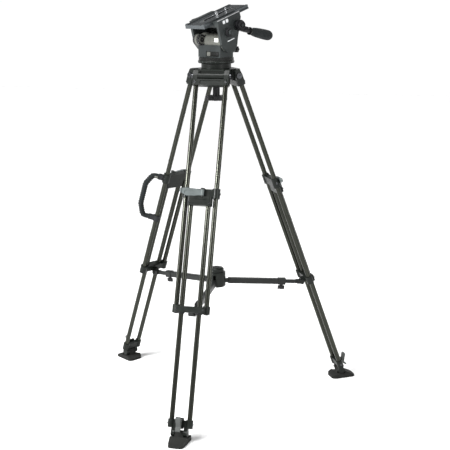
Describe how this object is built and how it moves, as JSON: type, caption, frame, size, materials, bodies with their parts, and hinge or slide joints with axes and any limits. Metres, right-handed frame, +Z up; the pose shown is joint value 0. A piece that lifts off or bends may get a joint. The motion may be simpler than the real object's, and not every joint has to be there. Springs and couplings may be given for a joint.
{
  "type": "video camera tripod with fluid head",
  "caption": "Professional video tripod with fluid pan and tilt head, sliding camera plate, levelling bowl, twin-tube extending legs, telescopic mid-level spreader and rubber feet.",
  "frame": {"origin": "on the floor at the middle of the bounding box; the pan axis stands 120.5 mm behind it", "axes": "+Z up; the front leg points to -Y, the other two to the back left and back right"},
  "size_m": [0.912, 0.7929, 1.3266],
  "materials": {
    "cast_charcoal": "satin",
    "bolt_steel": "satin",
    "knob_black": "matte",
    "ring_black": "matte",
    "head_slate": "satin",
    "housing_grey": "satin",
    "dial_black": "matte",
    "bubble_glass": "gloss",
    "bright_metal": "satin",
    "lever_grey": "satin",
    "plate_slate": "satin",
    "bar_black": "satin",
    "grip_rubber": "matte",
    "mount_black": "matte",
    "tube_olive": "satin",
    "latch_grey": "matte",
    "foot_rubber": "matte",
    "arm_black": "satin"
  },
  "bodies": {
    "crown": {"crown_casting": "cast_charcoal", "leg_hinge_bolts": "bolt_steel"},
    "clamp_cup": {"clamp_cup": "cast_charcoal"},
    "head_base": {"head_base": "cast_charcoal"},
    "tie_down": {"tie_down_knob": "knob_black"},
    "pan_drag_ring": {"pan_drag_ring": "ring_black"},
    "pan_body": {"pan_body": "head_slate", "bubble_level": "bubble_glass", "tilt_housing": "housing_grey"},
    "counterbalance_dial": {"counterbalance_dial": "dial_black"},
    "pan_lock": {"pan_lock_knob": "knob_black"},
    "cradle": {"cradle": "head_slate", "index_strip": "bright_metal"},
    "tilt_drag": {"tilt_drag_knob": "knob_black"},
    "tilt_lock": {"tilt_lock_lever": "head_slate"},
    "plate_lock": {"plate_lock_lever": "head_slate"},
    "camera_plate": {"camera_plate": "plate_slate", "camera_screws": "bright_metal"},
    "pan_bar": {"pan_bar": "bar_black", "pan_bar_grip": "grip_rubber"},
    "pan_bar_knob": {"pan_bar_knob": "knob_black"},
    "front_leg": {"front_leg_casting": "cast_charcoal", "front_upper_tubes": "tube_olive", "front_lower_bracket": "cast_charcoal"},
    "front_lower_leg": {"front_clamp_block": "cast_charcoal", "front_lower_tubes": "tube_olive", "front_foot_bracket": "cast_charcoal"},
    "front_clamp_lever": {"front_clamp_lever": "lever_grey"},
    "front_foot_latch": {"front_foot_latch": "latch_grey"},
    "front_foot": {"front_foot_pad": "foot_rubber"},
    "front_spreader_rod": {"front_spreader_rod": "arm_black"},
    "front_spreader_tube": {"front_spreader_tube": "arm_black"},
    "front_spreader_knob": {"front_spreader_knob": "knob_black"},
    "spreader_hub": {"spreader_hub": "cast_charcoal"},
    "left_leg": {"left_leg_casting": "cast_charcoal", "left_upper_tubes": "tube_olive", "left_lower_bracket": "cast_charcoal"},
    "left_lower_leg": {"left_clamp_block": "cast_charcoal", "left_lower_tubes": "tube_olive", "left_foot_bracket": "cast_charcoal", "carry_handle_grip": "grip_rubber", "carry_handle_mounts": "mount_black"},
    "left_clamp_lever": {"left_clamp_lever": "lever_grey"},
    "left_foot_latch": {"left_foot_latch": "latch_grey"},
    "left_foot": {"left_foot_pad": "foot_rubber"},
    "left_spreader_rod": {"left_spreader_rod": "arm_black"},
    "left_spreader_tube": {"left_spreader_tube": "arm_black"},
    "left_spreader_knob": {"left_spreader_knob": "knob_black"},
    "right_leg": {"right_leg_casting": "cast_charcoal", "right_upper_tubes": "tube_olive", "right_lower_bracket": "cast_charcoal"},
    "right_lower_leg": {"right_clamp_block": "cast_charcoal", "right_lower_tubes": "tube_olive", "right_foot_bracket": "cast_charcoal"},
    "right_clamp_lever": {"right_clamp_lever": "lever_grey"},
    "right_foot_latch": {"right_foot_latch": "latch_grey"},
    "right_foot": {"right_foot_pad": "foot_rubber"},
    "right_spreader_rod": {"right_spreader_rod": "arm_black"},
    "right_spreader_tube": {"right_spreader_tube": "arm_black"},
    "right_spreader_knob": {"right_spreader_knob": "knob_black"}
  },
  "joints": [
    {"name": "level_side_to_side", "type": "hinge", "parent": "crown", "child": "clamp_cup", "pos_m": [0, 0.1205, 1.13], "axis": [0, 1, 0], "range_deg": [-8, 8]},
    {"name": "level_front_to_back", "type": "hinge", "parent": "clamp_cup", "child": "head_base", "pos_m": [0, 0.1205, 1.13], "axis": [1, 0, 0], "range_deg": [-8, 8]},
    {"name": "tie_down_turn", "type": "hinge", "parent": "head_base", "child": "tie_down", "pos_m": [0, 0.1205, 1.06], "axis": [0, 0, 1], "continuous": true},
    {"name": "pan_drag_turn", "type": "hinge", "parent": "head_base", "child": "pan_drag_ring", "pos_m": [0, 0.1205, 1.152], "axis": [0, 0, 1], "range_deg": [-150, 150]},
    {"name": "pan", "type": "hinge", "parent": "head_base", "child": "pan_body", "pos_m": [0, 0.1205, 1.157], "axis": [0, 0, 1], "continuous": true},
    {"name": "pan_lock_turn", "type": "hinge", "parent": "pan_body", "child": "pan_lock", "pos_m": [0.05378, 0.13282, 1.182], "axis": [0.553, 0.8332, 0], "range_deg": [-75, 0]},
    {"name": "counterbalance_turn", "type": "hinge", "parent": "pan_body", "child": "counterbalance_dial", "pos_m": [-0.05518, 0.11331, 1.2135], "axis": [0.8332, -0.553, 0], "range_deg": [-120, 120]},
    {"name": "tilt", "type": "hinge", "parent": "pan_body", "child": "cradle", "pos_m": [0, 0.1205, 1.206], "axis": [0.8332, -0.553, 0], "range_deg": [-60, 45]},
    {"name": "tilt_drag_turn", "type": "hinge", "parent": "cradle", "child": "tilt_drag", "pos_m": [0.05749, 0.06788, 1.23887], "axis": [0.8332, -0.553, 0], "range_deg": [-120, 120]},
    {"name": "tilt_lock_swing", "type": "hinge", "parent": "cradle", "child": "tilt_lock", "pos_m": [0.06499, 0.0629, 1.23887], "axis": [0.8332, -0.553, 0], "range_deg": [-35, 0]},
    {"name": "plate_lock_swing", "type": "hinge", "parent": "cradle", "child": "plate_lock", "pos_m": [-0.08037, 0.13503, 1.27111], "axis": [0.8332, -0.553, 0], "range_deg": [0, 35]},
    {"name": "plate_slide", "type": "slide", "parent": "cradle", "child": "camera_plate", "axis": [-0.5244, -0.7902, -0.3173], "range_m": [-0.03, 0.03]},
    {"name": "pan_bar_swing", "type": "hinge", "parent": "cradle", "child": "pan_bar", "pos_m": [0.08365, 0.10097, 1.26137], "axis": [0.8332, -0.553, 0], "range_deg": [-5, 60]},
    {"name": "pan_bar_clamp_turn", "type": "hinge", "parent": "cradle", "child": "pan_bar_knob", "pos_m": [0.09198, 0.09544, 1.26137], "axis": [0.8332, -0.553, 0], "continuous": true},
    {"name": "front_leg_spread", "type": "hinge", "parent": "crown", "child": "front_leg", "pos_m": [0, 0.05962, 1.09875], "axis": [-1, 0, 0], "range_deg": [-3.3, 8]},
    {"name": "front_leg_extend", "type": "slide", "parent": "front_leg", "child": "front_lower_leg", "axis": [0, -0.3458, -0.9383], "range_m": [-0.28, 0.18]},
    {"name": "front_clamp_swing", "type": "hinge", "parent": "front_lower_leg", "child": "front_clamp_lever", "pos_m": [0.008, -0.09015, 0.7415], "axis": [0, 0.3458, 0.9383], "range_deg": [0, 110]},
    {"name": "front_latch_swing", "type": "hinge", "parent": "front_lower_leg", "child": "front_foot_latch", "pos_m": [0, -0.34162, 0.07216], "axis": [-1, 0, 0], "range_deg": [0, 60]},
    {"name": "front_foot_rock", "type": "hinge", "parent": "front_lower_leg", "child": "front_foot", "pos_m": [0, -0.34297, 0.03003], "axis": [-1, 0, 0], "range_deg": [-14, 14]},
    {"name": "front_arm_swing", "type": "hinge", "parent": "front_leg", "child": "front_spreader_rod", "pos_m": [0, -0.19044, 0.36815], "axis": [-1, 0, 0], "range_deg": [-1.7, 0.8]},
    {"name": "front_arm_extend", "type": "slide", "parent": "front_spreader_rod", "child": "front_spreader_tube", "axis": [0, 0.9956, 0.0932], "range_m": [-0.0415, 0.1]},
    {"name": "front_arm_lock_turn", "type": "hinge", "parent": "front_spreader_tube", "child": "front_spreader_knob", "pos_m": [0, -0.11471, 0.35515], "axis": [0, -0.0932, 0.9956], "range_deg": [-90, 0]},
    {"name": "hub_swing", "type": "hinge", "parent": "front_spreader_tube", "child": "spreader_hub", "pos_m": [0, 0.0965, 0.395], "axis": [-1, 0, 0], "range_deg": [-7, 3]},
    {"name": "left_leg_spread", "type": "hinge", "parent": "crown", "child": "left_leg", "pos_m": [-0.05273, 0.15094, 1.09875], "axis": [0.5, 0.866, 0], "range_deg": [-3.3, 8]},
    {"name": "left_leg_extend", "type": "slide", "parent": "left_leg", "child": "left_lower_leg", "axis": [-0.2995, 0.1729, -0.9383], "range_m": [-0.28, 0.18]},
    {"name": "left_clamp_swing", "type": "hinge", "parent": "left_lower_leg", "child": "left_clamp_lever", "pos_m": [-0.18643, 0.2189, 0.7415], "axis": [0.2995, -0.1729, 0.9383], "range_deg": [0, 110]},
    {"name": "left_latch_swing", "type": "hinge", "parent": "left_lower_leg", "child": "left_foot_latch", "pos_m": [-0.4002, 0.35156, 0.07216], "axis": [0.5, 0.866, 0], "range_deg": [0, 60]},
    {"name": "left_foot_rock", "type": "hinge", "parent": "left_lower_leg", "child": "left_foot", "pos_m": [-0.40138, 0.35223, 0.03003], "axis": [0.5, 0.866, 0], "range_deg": [-14, 14]},
    {"name": "left_arm_swing", "type": "hinge", "parent": "left_leg", "child": "left_spreader_rod", "pos_m": [-0.26928, 0.27597, 0.36815], "axis": [0.5, 0.866, 0], "range_deg": [-1.7, 0.8]},
    {"name": "left_arm_extend", "type": "slide", "parent": "left_spreader_rod", "child": "left_spreader_tube", "axis": [0.8623, -0.4978, 0.0932], "range_m": [-0.0415, 0.1]},
    {"name": "left_arm_lock_turn", "type": "hinge", "parent": "left_spreader_tube", "child": "left_spreader_knob", "pos_m": [-0.20369, 0.2381, 0.35515], "axis": [-0.0807, 0.0466, 0.9956], "range_deg": [-90, 0]},
    {"name": "right_leg_spread", "type": "hinge", "parent": "crown", "child": "right_leg", "pos_m": [0.05273, 0.15094, 1.09875], "axis": [0.5, -0.866, 0], "range_deg": [-3.3, 8]},
    {"name": "right_leg_extend", "type": "slide", "parent": "right_leg", "child": "right_lower_leg", "axis": [0.2995, 0.1729, -0.9383], "range_m": [-0.28, 0.18]},
    {"name": "right_clamp_swing", "type": "hinge", "parent": "right_lower_leg", "child": "right_clamp_lever", "pos_m": [0.17843, 0.23276, 0.7415], "axis": [-0.2995, -0.1729, 0.9383], "range_deg": [0, 110]},
    {"name": "right_latch_swing", "type": "hinge", "parent": "right_lower_leg", "child": "right_foot_latch", "pos_m": [0.4002, 0.35156, 0.07216], "axis": [0.5, -0.866, 0], "range_deg": [0, 60]},
    {"name": "right_foot_rock", "type": "hinge", "parent": "right_lower_leg", "child": "right_foot", "pos_m": [0.40138, 0.35223, 0.03003], "axis": [0.5, -0.866, 0], "range_deg": [-14, 14]},
    {"name": "right_arm_swing", "type": "hinge", "parent": "right_leg", "child": "right_spreader_rod", "pos_m": [0.26928, 0.27597, 0.36815], "axis": [0.5, -0.866, 0], "range_deg": [-1.7, 0.8]},
    {"name": "right_arm_extend", "type": "slide", "parent": "right_spreader_rod", "child": "right_spreader_tube", "axis": [-0.8623, -0.4978, 0.0932], "range_m": [-0.0415, 0.1]},
    {"name": "right_arm_lock_turn", "type": "hinge", "parent": "right_spreader_tube", "child": "right_spreader_knob", "pos_m": [0.20369, 0.2381, 0.35515], "axis": [0.0807, 0.0466, 0.9956], "range_deg": [-90, 0]}
  ],
  "couplings": [
    {"joint": "hub_swing", "follows": "front_leg_spread", "ratio": -0.8},
    {"joint": "front_arm_swing", "follows": "front_leg_spread", "ratio": -0.2},
    {"joint": "front_arm_extend", "follows": "front_leg_spread", "m_per_rad": 0.7067},
    {"joint": "left_leg_spread", "follows": "front_leg_spread", "ratio": 1},
    {"joint": "left_arm_swing", "follows": "front_leg_spread", "ratio": -0.2},
    {"joint": "left_arm_extend", "follows": "front_leg_spread", "m_per_rad": 0.7067},
    {"joint": "right_leg_spread", "follows": "front_leg_spread", "ratio": 1},
    {"joint": "right_arm_swing", "follows": "front_leg_spread", "ratio": -0.2},
    {"joint": "right_arm_extend", "follows": "front_leg_spread", "m_per_rad": 0.7067}
  ]
}
